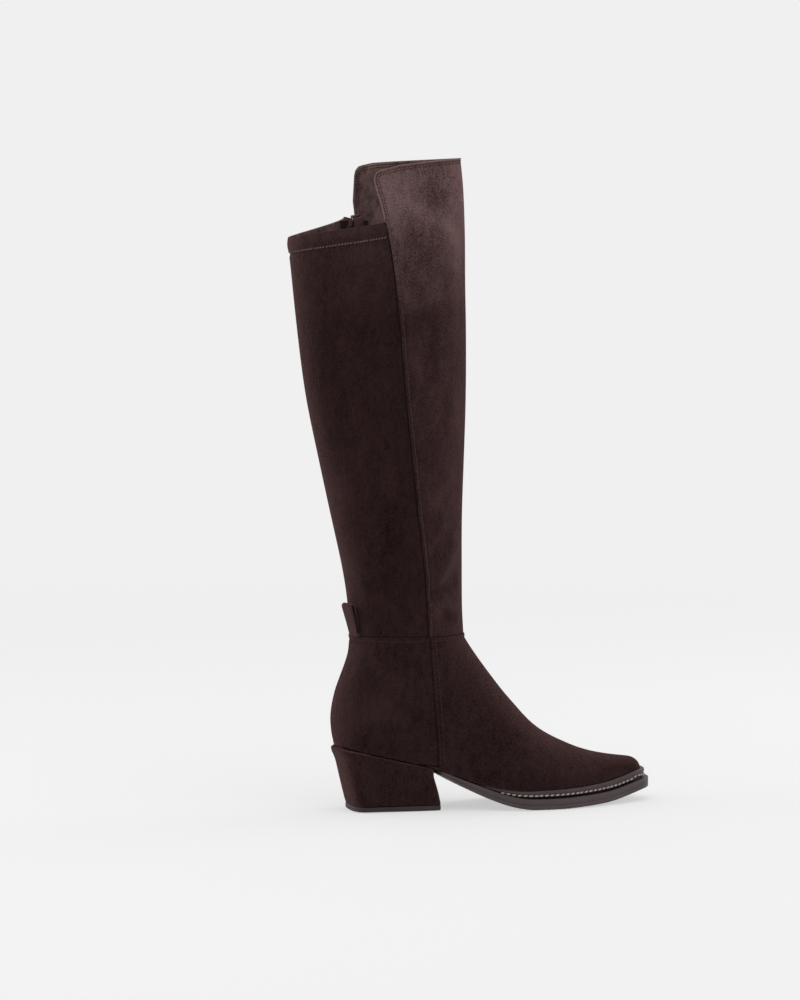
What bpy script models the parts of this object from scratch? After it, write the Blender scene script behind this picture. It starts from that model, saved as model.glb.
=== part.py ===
"""Knee-high suede boot for the right foot: hollow foot upper, two shaft panels, welt, outsole,
covered heel, insole, pull loop and a medial zip. Metres, +Z up, toe toward +X, medial side +Y.
The origin is the middle of the heel's tread, on the floor."""
import bisect
import functools
import math

import bmesh
import bpy
import numpy as np
from mathutils import Matrix, Vector

# Foot
FOOT_LENGTH = 0.281       # back of the counter to the tip of the outsole
HEEL_SETBACK = 0.0527     # back of the counter to the middle of the heel's tread
BALL_WIDTH = 0.086        # upper at the ball, at its feather line
HEEL_HEIGHT = 0.052       # floor to the underside of the seat at the back
TOE_SPRING = 0.0155       # how far the tread's tip stands off the floor
ANKLE_HEIGHT = 0.1475     # floor to the ankle seam
WALL = 0.0018             # leather with its lining
EDGE_STEP = 0.0007        # how far an edge lies proud of the piece under it
BULGE = 0.0022            # upper over the welt

# Sole
SOLE_THICKNESS = 0.0093
LINE_HEIGHT = 0.43        # share of the sole's side under the fine line
LINE_DEPTH = 0.0006
WELT_HEIGHT = 0.0079
SOLE_MARGIN = 0.0046      # outsole beyond the upper's feather line at the sides
WELT_INSET = 0.0020       # welt behind the outsole's edge at the sides
TOE_INSET = 0.0036        # the same at the tip of the toe
WAIST_SHARE = 0.299       # where the outsole ends at the heel's breast
INSOLE_THICKNESS = 0.003
FIT = 0.0003
SEAT_GAP = 0.0005         # under the upper's lower edge, whose curve is free of the sole's

# Heel
HEEL_TREAD_LENGTH = 0.0755
HEEL_TREAD_WIDTH = 0.054
HEEL_BACK_WIDTH = 0.049
HEEL_LIP = 0.0036
LIFT_THICKNESS = 0.005

# Shaft
SHAFT_HEIGHT = 0.3985     # ankle seam to the top of the front panel
CALF_DEPTH = 0.1515       # back to front at the collar
COLLAR_BACK = 0.3325      # ankle seam to the collar at the back
COLLAR_SIDE_RISE = 0.0128
MEDIAL_RISE = 0.005
CORNER_DROP = 0.0105
CORNER_RADIUS = 0.0085
HEM_DEPTH = 0.0125
HEM_STEP = 0.0004

# Pull loop
LOOP_WIDTH = 0.0138
LOOP_ROOT = 0.92          # width at the seam as a share of LOOP_WIDTH
LOOP_HEIGHT = 0.029
LOOP_OPENING = 0.0026
LOOP_THICKNESS = 0.0014
LOOP_LEAN = 14.5          # degrees away from the shaft
LOOP_TURN = 19.0          # degrees toward the lateral side
LOOP_SIDE = 0.045         # turn from the back toward the lateral side

# Zip
ZIP_GAP = 0.0078
CHAIN_WIDTH = 0.0062
CHAIN_THICKNESS = 0.0016
TAPE_WIDTH = 0.026
TAPE_THICKNESS = 0.0008
ZIP_END = 0.025           # above the feather line
SLIDER_PLACE = 0.974      # from the zip's end on the foot (0) to its top (1)
SLIDER_LENGTH = 0.010
SLIDER_WIDTH = 0.0068
SLIDER_THICKNESS = 0.0022
BAIL_WIRE = 0.0012
BAIL_RISE = 0.0036
PULL_LENGTH = 0.0265
PULL_WIDTH = 0.0072
PULL_THICKNESS = 0.0013
PULL_EYE = 0.0023         # half width of the ring's opening

# Grid
AROUND = 48
FOOT_ROWS = 18
SHAFT_ROWS = 15

# Foot along its length. Shares of FOOT_LENGTH, of HEEL_HEIGHT, of TOE_SPRING, of SOLE_THICKNESS,
# of WELT_HEIGHT, and of BALL_WIDTH for the half width and the swing toward the medial side
FOOT_COLUMNS = ("along", "rise", "spring", "sole", "welt", "half", "swing")
FOOT = (
    (0.000, 1.005, 0.00, 0.30, 0.00, 0.290, 0.000),
    (0.060, 0.945, 0.00, 0.30, 0.00, 0.305, 0.000),
    (0.132, 0.850, 0.00, 0.30, 0.00, 0.318, 0.002),
    (0.210, 0.750, 0.00, 0.30, 0.00, 0.330, 0.005),
    (0.278, 0.655, 0.00, 0.32, 0.00, 0.338, 0.008),
    (0.324, 0.545, 0.00, 0.46, 0.00, 0.345, 0.010),
    (0.372, 0.400, 0.00, 0.68, 0.02, 0.358, 0.008),
    (0.419, 0.270, 0.00, 0.84, 0.06, 0.378, 0.000),
    (0.466, 0.152, 0.00, 0.93, 0.36, 0.408, -0.010),
    (0.509, 0.067, 0.00, 0.98, 0.58, 0.438, -0.018),
    (0.555, 0.010, 0.00, 1.00, 0.78, 0.465, -0.024),
    (0.590, 0.000, 0.00, 1.00, 0.87, 0.479, -0.026),
    (0.673, 0.000, 0.00, 1.00, 0.95, 0.478, -0.020),
    (0.758, 0.000, 0.05, 1.00, 1.00, 0.425, 0.000),
    (0.840, 0.000, 0.15, 1.00, 1.11, 0.345, 0.026),
    (0.893, 0.000, 0.32, 1.00, 1.14, 0.280, 0.046),
    (0.947, 0.000, 0.56, 0.99, 1.17, 0.215, 0.062),
    (1.000, 0.000, 0.75, 0.93, 1.00, 0.165, 0.070),
)

# Back of the counter: share of the height from seat to ankle, share of FOOT_LENGTH
COUNTER = ((0.00, 0.0110), (0.11, 0.0036), (0.24, 0.0000), (0.36, 0.0040), (0.51, 0.0160),
           (0.67, 0.0360), (0.83, 0.0545), (1.00, 0.0600))

# Ridge from the tip of the toe to the ankle: share of FOOT_LENGTH, share of the height from
# the toe's feather line to the ankle, and the ridge's round as a share of FOOT_LENGTH
RIDGE = ((0.973, 0.000, 0.034), (0.961, 0.050, 0.036), (0.928, 0.074, 0.046), (0.855, 0.094, 0.072),
         (0.791, 0.133, 0.100), (0.718, 0.204, 0.125), (0.655, 0.279, 0.150), (0.596, 0.403, 0.170),
         (0.524, 0.593, 0.180), (0.466, 0.780, 0.180), (0.414, 0.950, 0.174), (0.407, 1.000, 0.173))

# Shaft: share of SHAFT_HEIGHT, then back, front and half width as shares of CALF_DEPTH, and
# the places of the lateral and the medial seam between back and front. Above the collar the
# back closes in, which curls the front panel's free edges
SHAFT = (
    (0.000, -0.236, 0.403, 0.257, 0.598, 0.598),
    (0.059, -0.244, 0.393, 0.264, 0.598, 0.598),
    (0.123, -0.267, 0.393, 0.269, 0.593, 0.593),
    (0.250, -0.342, 0.394, 0.270, 0.580, 0.580),
    (0.377, -0.416, 0.407, 0.272, 0.563, 0.562),
    (0.503, -0.486, 0.418, 0.277, 0.548, 0.544),
    (0.631, -0.531, 0.419, 0.286, 0.536, 0.526),
    (0.757, -0.566, 0.413, 0.290, 0.518, 0.494),
    (0.831, -0.583, 0.413, 0.290, 0.496, 0.456),
    (0.868, -0.544, 0.411, 0.288, 0.452, 0.403),
    (0.910, -0.422, 0.405, 0.284, 0.345, 0.302),
    (0.952, -0.322, 0.400, 0.278, 0.225, 0.210),
    (1.000, -0.277, 0.384, 0.272, 0.165, 0.165),
)

SEAM_FOOT = 0.303         # side seam at the feather line, share of FOOT_LENGTH
LATERAL = 0.25
FRONT = 0.5
MEDIAL = 0.75


@functools.lru_cache(maxsize=None)
def curve_of(table, column):
    """Points and tangents of one column of a table, in rising order."""
    rows = sorted((row[0], row[column]) for row in table)
    xs = [row[0] for row in rows]
    ys = [row[1] for row in rows]
    slopes = [(b[1] - a[1]) / (b[0] - a[0]) for a, b in zip(rows, rows[1:])]
    tangents = [slopes[0]]
    tangents += [(a + b) / 2 if a * b > 0 else 0.0 for a, b in zip(slopes, slopes[1:])]
    return xs, ys, tangents + [slopes[-1]]


def smooth(table, column, at):
    """Value of a table's column at its first column's value, on a smooth curve."""
    xs, ys, tangents = curve_of(table, column)
    at = min(max(at, xs[0]), xs[-1])
    i = min(max(bisect.bisect_left(xs, at) - 1, 0), len(xs) - 2)
    step = xs[i + 1] - xs[i]
    t = (at - xs[i]) / step
    return ((2 * t**3 - 3 * t**2 + 1) * ys[i] + (t**3 - 2 * t**2 + t) * step * tangents[i]
            + (3 * t**2 - 2 * t**3) * ys[i + 1] + (t**3 - t**2) * step * tangents[i + 1])


def foot(column, x):
    return smooth(FOOT, FOOT_COLUMNS.index(column), (x + HEEL_SETBACK) / FOOT_LENGTH)


def foot_x(share):
    return share * FOOT_LENGTH - HEEL_SETBACK


def tread_height(x):
    return foot("rise", x) * HEEL_HEIGHT + foot("spring", x) * TOE_SPRING


def sole_top(x):
    return tread_height(x) + foot("sole", x) * SOLE_THICKNESS


def feather_height(x):
    return sole_top(x) + foot("welt", x) * WELT_HEIGHT + SEAT_GAP


def cap(distance, radius, power=2.0):
    """Rounds a width off toward an end: 0 at the end, 1 from one radius on."""
    t = min(max(distance / radius, 0.0), 1.0)
    return (1 - (1 - t) ** power) ** (1 / power)


def shaft(column, height):
    return smooth(SHAFT, column, (height - ANKLE_HEIGHT) / SHAFT_HEIGHT)


def shaft_back_x(height):
    return shaft(1, height) * CALF_DEPTH


def shaft_front_x(height):
    return shaft(2, height) * CALF_DEPTH


SEAT_BACK = foot_x(COUNTER[0][1])
TOE_TIP = foot_x(RIDGE[0][0])
SEAT_HEIGHT = feather_height(SEAT_BACK)
TOE_HEIGHT = feather_height(TOE_TIP)


def counter_point(v):
    """Side view of the counter's back, from the seat (0) to the ankle (1)."""
    drift = shaft_back_x(ANKLE_HEIGHT) - foot_x(COUNTER[-1][1])
    return np.array([foot_x(smooth(COUNTER, 1, v)) + drift * v * v,
                     SEAT_HEIGHT + v * (ANKLE_HEIGHT - SEAT_HEIGHT)])


RIDGE_STEPS = tuple((i / (len(RIDGE) - 1),) + row for i, row in enumerate(RIDGE))


def ridge_point(v):
    """Side view of the ridge, from the tip of the toe (0) to the ankle (1)."""
    drift = shaft_front_x(ANKLE_HEIGHT) - foot_x(RIDGE[-1][0])
    return np.array([foot_x(smooth(RIDGE_STEPS, 1, v)) + drift * v * v,
                     TOE_HEIGHT + smooth(RIDGE_STEPS, 2, v) * (ANKLE_HEIGHT - TOE_HEIGHT)])


RIDGE_LINE = np.array([ridge_point(v) for v in np.linspace(0, 1, 160)])
COUNTER_LINE = np.array([counter_point(v) for v in np.linspace(0, 1, 80)])


def foot_side(s, v):
    """Side view of the foot: s runs from back to front, v from feather line to ankle."""
    seat = np.array([SEAT_BACK, SEAT_HEIGHT])
    tip = np.array([TOE_TIP, TOE_HEIGHT])
    x = SEAT_BACK + s * (TOE_TIP - SEAT_BACK)
    low = np.array([x, feather_height(x)])
    back = np.array([shaft_back_x(ANKLE_HEIGHT), ANKLE_HEIGHT])
    front = np.array([shaft_front_x(ANKLE_HEIGHT), ANKLE_HEIGHT])
    high = back + s * (front - back)
    corners = (1 - s) * ((1 - v) * seat + v * back) + s * ((1 - v) * tip + v * front)
    return (1 - v) * low + v * high + (1 - s) * counter_point(v) + s * ridge_point(v) - corners


def foot_half_width(s, v):
    x, z = foot_side(s, v)
    over = z - feather_height(x)
    climb = min(max(over / (ANKLE_HEIGHT - feather_height(x)), 0.0), 1.0) ** 1.25
    low = foot("half", x) * BALL_WIDTH + BULGE * (1 - math.exp(-max(over, 0.0) / 0.005))
    middle = low + (shaft(3, ANKLE_HEIGHT) * CALF_DEPTH - low) * climb
    to_ridge = np.hypot(RIDGE_LINE[:, 0] - x, RIDGE_LINE[:, 1] - z)
    nearest = int(np.argmin(to_ridge))
    along = nearest / (len(RIDGE_LINE) - 1)
    ridge_round = smooth(RIDGE_STEPS, 3, along) * FOOT_LENGTH
    ankle_round = (shaft_front_x(ANKLE_HEIGHT) - shaft_back_x(ANKLE_HEIGHT)) / 2
    ridge_round += (ankle_round - ridge_round) * climb**2
    to_back = float(np.min(np.hypot(COUNTER_LINE[:, 0] - x, COUNTER_LINE[:, 1] - z)))
    back_round = foot("half", SEAT_BACK) * BALL_WIDTH
    back_round += (ankle_round - back_round) * min(max(v, 0.0), 1.0)
    square = 2 + 0.7 * (1 - min(along / 0.2, 1.0))
    ends = cap(to_back if s > 0 else 0.0, back_round) \
        * cap(float(to_ridge[nearest]) if s < 1 else 0.0, ridge_round, square)
    return middle * ends


def seam_share(v):
    """Where the side seam crosses the ring v of the foot, between back (0) and front (1)."""
    top = shaft_back_x(ANKLE_HEIGHT) + shaft(4, ANKLE_HEIGHT) * (
        shaft_front_x(ANKLE_HEIGHT) - shaft_back_x(ANKLE_HEIGHT))
    bottom = foot_x(SEAM_FOOT)
    start = feather_height(bottom)
    low, high = 0.0, 1.0
    for _ in range(24):
        s = (low + high) / 2
        x, z = foot_side(s, v)
        line = bottom + (top - bottom) * (z - start) / (ANKLE_HEIGHT - start)
        if x < line:
            low = s
        else:
            high = s
    return low


def turn(u, seam):
    """Angle round a ring whose side seams fall at a quarter and three quarters."""
    u = u % 1.0
    side = u if u <= 0.5 else 1 - u
    seam_angle = math.acos(1 - 2 * seam)
    if side <= LATERAL:
        angle = seam_angle * side / LATERAL
    else:
        angle = seam_angle + (math.pi - seam_angle) * (side - LATERAL) / (FRONT - LATERAL)
    return angle, -1.0 if u <= 0.5 else 1.0


SEAMS = [seam_share(v) for v in np.linspace(0, 1, 41)]


def foot_skin(u, v):
    """Point of the foot's outer face: u goes round from the back over the lateral side."""
    seam = float(np.interp(v, np.linspace(0, 1, 41), SEAMS))
    angle, side = turn(u, seam)
    s = (1 - math.cos(angle)) / 2
    x, z = foot_side(s, v)
    sway = foot("swing", x) * BALL_WIDTH * (1 - min(max(v, 0.0), 1.0))
    return np.array([x, sway + side * foot_half_width(s, v), z])


def shaft_skin(u, z):
    """Point of the shaft's outer face at a height."""
    angle, side = turn(u, shaft(4 if u % 1.0 <= 0.5 else 5, z))
    s = (1 - math.cos(angle)) / 2
    back, front = shaft_back_x(z), shaft_front_x(z)
    x = back + s * (front - back)
    half = shaft(3, z) * CALF_DEPTH * math.sin(angle)
    return np.array([x, side * half, z])


def lifted(skin, u, v, lift, du=0.002, dv=0.002):
    """Point of a skin moved out along its normal."""
    along = skin(u + du, v) - skin(u - du, v)
    up = skin(u, v) - skin(u, v - dv)
    normal = np.cross(along, up)
    return skin(u, v) + normal / np.linalg.norm(normal) * lift


def foot_lifted(u, v, lift):
    return lifted(foot_skin, u, max(v, 0.002), lift) if v > 0.002 else \
        foot_skin(u, v) + lifted(foot_skin, u, 0.004, lift) - foot_skin(u, 0.004)


def shaft_lifted(u, z, lift):
    return lifted(shaft_skin, u, z, lift, dv=0.001)


def turn_for(skin, distance, v):
    """How much u a distance round the medial seam takes."""
    speed = np.linalg.norm(skin(MEDIAL + 0.01, v) - skin(MEDIAL - 0.01, v)) / 0.02
    return distance / speed


def collar_height(u):
    """Height of the back panel's top: highest at the side seams."""
    round_back = abs((u + 0.5) % 1.0 - 0.5) / LATERAL
    medial = 1.0 if u % 1.0 > 0.5 else 0.0
    rise = (COLLAR_SIDE_RISE + MEDIAL_RISE * medial) * min(round_back, 1.0) ** (1.4 + 0.5 * medial)
    return ANKLE_HEIGHT + COLLAR_BACK + rise


def material(name, color, roughness, metallic=0.0):
    made = bpy.data.materials.new(name)
    made.use_nodes = True
    shader = made.node_tree.nodes["Principled BSDF"]
    shader.inputs["Base Color"].default_value = (*color, 1.0)
    shader.inputs["Roughness"].default_value = roughness
    shader.inputs["Metallic"].default_value = metallic
    made.diffuse_color = (*color, 1.0)
    return made


def add_object(name, points, faces, finish):
    mesh = bpy.data.meshes.new(name)
    mesh.from_pydata([tuple(map(float, p)) for p in points], [], faces)
    mesh.validate()
    mesh.shade_smooth()
    mesh.set_sharp_from_angle(angle=math.radians(40))
    obj = bpy.data.objects.new(name, mesh)
    obj.data.materials.append(finish)
    PARTS.objects.link(obj)
    return obj


def thicken(obj, thickness):
    """Gives an open surface its wall, toward the inside."""
    wall = obj.modifiers.new("wall", "SOLIDIFY")
    wall.thickness = thickness
    wall.offset = -1
    wall.use_even_offset = True
    return obj


def grid_faces(rows, columns, closed, keep=None):
    faces = []
    for r in range(rows - 1):
        for c in range(columns if closed else columns - 1):
            if keep is None or keep(r, c):
                after = (c + 1) % columns
                faces.append((r * columns + c, r * columns + after,
                              (r + 1) * columns + after, (r + 1) * columns + c))
    return faces


def plate(name, rings, finish):
    """Closed solid through rings from the lowest to the highest. Each ring starts at the back,
    and its points i and count - i face each other, which the two caps join."""
    count = len(rings[0])
    points = [p for ring in rings for p in ring]
    faces = grid_faces(len(rings), count, True)
    top = (len(rings) - 1) * count
    for base, flip in ((0, True), (top, False)):
        for i in range(count // 2):
            a, b = base + i, base + i + 1
            c, d = base + (count - i - 1) % count, base + (count - i) % count
            if i == 0:
                face = (a, b, c)
            elif i == count // 2 - 1:
                face = (a, b, d)
            else:
                face = (a, b, c, d)
            faces.append(face[::-1] if flip else face)
    return add_object(name, points, faces, finish)


def plan_ring(back, front, half, swing, height, round_back, round_front, power, count=AROUND):
    """Ring with an outline in plan: half, swing and height are functions of x."""
    ring = []
    for i in range(count):
        angle = 2 * math.pi * i / count
        x = back + (front - back) * (1 - math.cos(angle)) / 2
        width = half(x) * cap(x - back, round_back, power) * cap(front - x, round_front, power)
        if i in (0, count // 2):
            width = 0.0
        side = -1 if i < count / 2 else 1
        ring.append((x, swing(x) + side * width, height(x)))
    return ring


def swing_at(x):
    return foot("swing", x) * BALL_WIDTH


def make_upper(finish):
    """Foot of the upper. The vamp lies over the quarter at the side seams, and the medial
    seam is open where the zip runs into it."""
    slot_half = ZIP_GAP / 2
    spread = EDGE_STEP
    columns = []
    for i in range(AROUND):
        if i == AROUND // 4:
            columns += [(LATERAL, -spread), (LATERAL, spread)]
        elif i == 3 * AROUND // 4:
            slot = len(columns)
            columns += [(MEDIAL, -slot_half), (MEDIAL, slot_half)]
        else:
            columns.append((i / AROUND, 0.0))
    seam_height = feather_height(foot_x(SEAM_FOOT))
    slot_row = round(FOOT_ROWS * ZIP_END / (ANKLE_HEIGHT - seam_height))
    points = []
    for r in range(FOOT_ROWS + 1):
        v = r / FOOT_ROWS
        for u, shift in columns:
            at = u + turn_for(foot_skin, shift, v)
            vamp = LATERAL < at < MEDIAL
            points.append(foot_lifted(at, v, EDGE_STEP if vamp else 0.0))
    faces = grid_faces(FOOT_ROWS + 1, len(columns), True,
                       lambda r, c: not (c == slot and r >= slot_row))
    return thicken(add_object("upper", points, faces, finish), WALL)


def panel(name, columns, bottom, top, lift, finish, rows=SHAFT_ROWS, hem=0.0):
    """Panel of the shaft. Columns hold the turn, and distances round from it."""
    points = []
    steps = [r / rows for r in range(rows + 1)]
    if hem:
        steps = [r / rows for r in range(rows)]
    for step in steps + ([2, 3, 4] if hem else []):
        for u, shift in columns:
            high = top(u, shift) - hem
            z = bottom + step * (high - bottom)
            raised = lift
            if step >= 2:
                z = high + {2: 0.0, 3: 2 * HEM_STEP, 4: hem}[step]
                raised = lift + (HEM_STEP if step > 2 else 0.0)
            at = u + turn_for(shaft_skin, shift, min(z, collar_height(u)))
            points.append(shaft_lifted(at, z, raised))
    count = len(steps) + (3 if hem else 0)
    return thicken(add_object(name, points, grid_faces(count, len(columns), False), finish), WALL)


def make_shaft_front(finish):
    """Front panel, which stands above the collar with rounded free corners."""
    edge = ZIP_GAP / 2
    corner = [CORNER_RADIUS * (1 - math.cos(math.radians(a))) for a in (0, 30, 60, 90)]
    inner = [LATERAL + (MEDIAL - LATERAL) * i / 20 for i in range(2, 19)]
    columns = [(LATERAL, d) for d in corner] + [(u, 0.0) for u in inner]
    columns += [(MEDIAL, -edge - d) for d in reversed(corner)]

    def top(u, shift):
        share = (FRONT - u) / (FRONT - LATERAL)
        drop = CORNER_DROP if share > 0 else CORNER_DROP - MEDIAL_RISE
        near = abs(shift) - (edge if u == MEDIAL else 0.0)
        cut = 0.0
        if u in (LATERAL, MEDIAL):
            inset = CORNER_RADIUS - min(near, CORNER_RADIUS)
            cut = CORNER_RADIUS - math.sqrt(max(CORNER_RADIUS**2 - inset**2, 0.0))
        return ANKLE_HEIGHT + SHAFT_HEIGHT - drop * share**2 - cut

    return panel("shaft_front", columns, ANKLE_HEIGHT + FIT, top, EDGE_STEP, finish, SHAFT_ROWS + 3)


def make_shaft_back(finish):
    """Back panel of stretch suede, with a turned hem at its top."""
    edge = ZIP_GAP / 2
    inner = [MEDIAL + 0.5 * i / 22 for i in range(1, 22)]
    columns = [(MEDIAL, edge)] + [(u, 0.0) for u in inner] + [(MEDIAL + 0.5, -FIT - 0.0002)]
    return panel("shaft_back", columns, ANKLE_HEIGHT + FIT, lambda u, shift: collar_height(u),
                 0.0, finish, hem=HEM_DEPTH)


def sole_margin(x):
    """Outsole beyond the feather line: grows from the waist to the toe."""
    share = (x + HEEL_SETBACK) / FOOT_LENGTH
    return SOLE_MARGIN * min(max((share - WAIST_SHARE) / 0.25, 0.0), 1.0) - 0.0015 * (share < 0.2)


def make_outsole(finish):
    """Outsole with its waist, toe spring and the fine line round its side."""
    back = foot_x(WAIST_SHARE) + FIT
    front = foot_x(1.0)

    def ring(inset, height):
        return plan_ring(back + inset, front - inset,
                         lambda x: foot("half", x) * BALL_WIDTH + sole_margin(x) - inset,
                         swing_at, height, 0.006, 0.016, 2.6, 60)

    def level(share):
        return lambda x: tread_height(x) + share * (sole_top(x) - tread_height(x))

    groove = 0.05
    rings = [ring(0.0009, level(0.0)), ring(0.0, level(0.08)), ring(0.0, level(LINE_HEIGHT - groove)),
             ring(LINE_DEPTH, level(LINE_HEIGHT)), ring(0.0, level(LINE_HEIGHT + groove)),
             ring(0.0, level(0.94)), ring(0.0006, level(1.0))]
    return plate("outsole", rings, finish)


def make_insole(finish):
    """Board and sock that close the upper from inside, down onto the sole and the heel."""
    inset = WALL + 0.0011

    def ring(height, grow):
        return plan_ring(SEAT_BACK + inset - grow, TOE_TIP - inset + grow,
                         lambda x: foot("half", x) * BALL_WIDTH - inset + grow,
                         swing_at, height, 0.022, 0.011, 2.2, AROUND)

    low = lambda x: sole_top(x) + FIT
    high = lambda x: feather_height(x) + INSOLE_THICKNESS * 0.7
    return plate("insole", [ring(low, -0.0004), ring(high, -0.0008)], finish)


def make_welt(finish):
    """Rolled cord and stitched shelf between the upper and the outsole, from waist to waist."""
    back = foot_x(0.425)
    front = foot_x(1.0) - TOE_INSET
    count = 64
    section = (
        # Share of the way from the inner face to the outer edge, share of the height
        (0.00, 0.04), (0.76, 0.04), (0.76, 0.20), (0.91, 0.27), (0.91, 0.52), (1.00, 0.59),
        (1.00, 0.80), (0.86, 0.94), (0.62, 0.97), (0.00, 0.96),
    )
    points = []
    for i in range(count + 1):
        angle = math.pi * (2 * i / count - 1)
        s = (1 + math.cos(angle)) / 2
        side = -1 if i < count / 2 else 1
        inner_x = back + s * (TOE_TIP - WALL - 0.0006 - back)
        outer_x = back + s * (front - back)
        inner_y = swing_at(inner_x) + side * (foot("half", inner_x) * BALL_WIDTH - WALL - 0.0006) \
            * cap(TOE_TIP - WALL - 0.0006 - inner_x, 0.011, 2.3)
        outer_y = swing_at(outer_x) + side * (foot("half", outer_x) * BALL_WIDTH
                                              + sole_margin(outer_x) - WELT_INSET) \
            * cap(front - outer_x, 0.016, 2.6)
        for out, up in section:
            x = inner_x + out * (outer_x - inner_x)
            y = inner_y + out * (outer_y - inner_y)
            low = sole_top(x) + FIT
            height = max(foot("welt", x) * WELT_HEIGHT - FIT, 0.0005)
            points.append((x, y, low + up * height))
    wide = len(section)
    faces = []
    for i in range(count):
        for k in range(wide):
            after = (k + 1) % wide
            faces.append((i * wide + k, (i + 1) * wide + k, (i + 1) * wide + after, i * wide + after))
    faces.append(tuple(range(wide)))
    faces.append(tuple(count * wide + k for k in reversed(range(wide))))
    return add_object("welt", points, faces, finish)


def heel_ring(share, lip, top):
    """Ring of the heel block: share 0 on the top lift, 1 under the seat."""
    tread_back = -HEEL_TREAD_LENGTH / 2
    tread_front = HEEL_TREAD_LENGTH / 2
    back = tread_back + share * (SEAT_BACK - tread_back) - lip
    front = tread_front + min(share / 0.8, 1.0) ** 1.4 * (foot_x(WAIST_SHARE) - FIT - tread_front)
    bottom_half = lambda x: (HEEL_BACK_WIDTH + (HEEL_TREAD_WIDTH - HEEL_BACK_WIDTH)
                             * (x - tread_back) / HEEL_TREAD_LENGTH) / 2
    half = lambda x: bottom_half(x) + share * (foot("half", x) * BALL_WIDTH - bottom_half(x)) + lip
    round_back = 0.011 + share**3 * 0.009
    return plan_ring(back, front, half, lambda x: share * swing_at(x), top, round_back, 0.004, 2.9, 40)


def make_heel(finish):
    """Covered heel block, leaning forward to its tread, with a soft lip under the seat."""
    seat = lambda x: sole_top(x) - FIT / 3
    rings = []
    for share, lip in ((0.0, -0.0004), (0.02, 0.0), (0.3, 0.0), (0.6, 0.0), (0.76, 0.0)):
        level = lambda x, share=share: LIFT_THICKNESS + FIT + share * (seat(x) - LIFT_THICKNESS - FIT)
        rings.append(heel_ring(share, lip, level))
    for share, lip in ((0.84, 0.26 * HEEL_LIP), (0.905, 0.50 * HEEL_LIP), (0.96, 0.38 * HEEL_LIP),
                       (1.0, -0.25 * HEEL_LIP)):
        level = lambda x, share=share: LIFT_THICKNESS + FIT + share * (seat(x) - LIFT_THICKNESS - FIT)
        rings.append(heel_ring(share, lip, level))
    return plate("heel", rings, finish)


def make_top_lift(finish):
    rings = [heel_ring(0.0, -0.0012, lambda x: 0.0), heel_ring(0.0, -0.0002, lambda x: 0.0008),
             heel_ring(0.0, -0.0002, lambda x: LIFT_THICKNESS)]
    return plate("top_lift", rings, finish)


def make_pull_loop(finish):
    """Strap folded over on itself and sewn into the ankle seam at the back."""
    bend = LOOP_OPENING / 2 + LOOP_THICKNESS
    path = [(LOOP_THICKNESS * 1.05, 0.0), (LOOP_THICKNESS * 1.12, 0.35 * LOOP_HEIGHT)]
    for i in range(9):
        angle = math.pi * i / 8
        path.append((bend * math.cos(angle), LOOP_HEIGHT - bend + bend * math.sin(angle)))
    path += [(-LOOP_THICKNESS * 1.12, 0.35 * LOOP_HEIGHT), (-LOOP_THICKNESS * 1.05, 0.0)]
    points = []
    for out, up in path:
        width = LOOP_WIDTH * (LOOP_ROOT + (1 - LOOP_ROOT) * min(1.5 * up / LOOP_HEIGHT, 1.0))
        for k in range(4):
            points.append((out, width * (k / 3 - 0.5), up))
    obj = add_object("pull_loop", points, grid_faces(len(path), 4, False), finish)
    thicken(obj, LOOP_THICKNESS)
    place = Matrix.Rotation(math.radians(LOOP_TURN), 4, "Z") @ Matrix.Rotation(
        math.radians(-LOOP_LEAN), 4, "Y")
    root = shaft_lifted(LOOP_SIDE, ANKLE_HEIGHT + 0.002, 1.3 * LOOP_THICKNESS)
    obj.data.transform(Matrix.Translation((root[0], root[1], ANKLE_HEIGHT + FIT)) @ place)
    return obj


def zip_skin(t, side, lift):
    """Point beside the medial seam: t from the zip's end on the foot (0) to its top (1)."""
    start = ZIP_END / (ANKLE_HEIGHT - feather_height(foot_x(SEAM_FOOT)))
    foot_length = (1 - start) * (ANKLE_HEIGHT - feather_height(foot_x(SEAM_FOOT)))
    top = collar_height(MEDIAL) - 0.001
    total = foot_length + top - ANKLE_HEIGHT
    reach = t * total
    if reach < foot_length:
        v = start + (1 - start) * reach / foot_length
        return foot_lifted(MEDIAL + turn_for(foot_skin, side, v), v, lift)
    z = ANKLE_HEIGHT + reach - foot_length
    return shaft_lifted(MEDIAL + turn_for(shaft_skin, side, z), z, lift)


def ribbon(name, sides, lift, thickness, first, last, steps, finish):
    points = []
    for r in range(steps + 1):
        t = first + (last - first) * r / steps
        for side in sides:
            points.append(zip_skin(t, side, lift))
    return thicken(add_object(name, points, grid_faces(steps + 1, len(sides), False), finish),
                   thickness)


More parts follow.
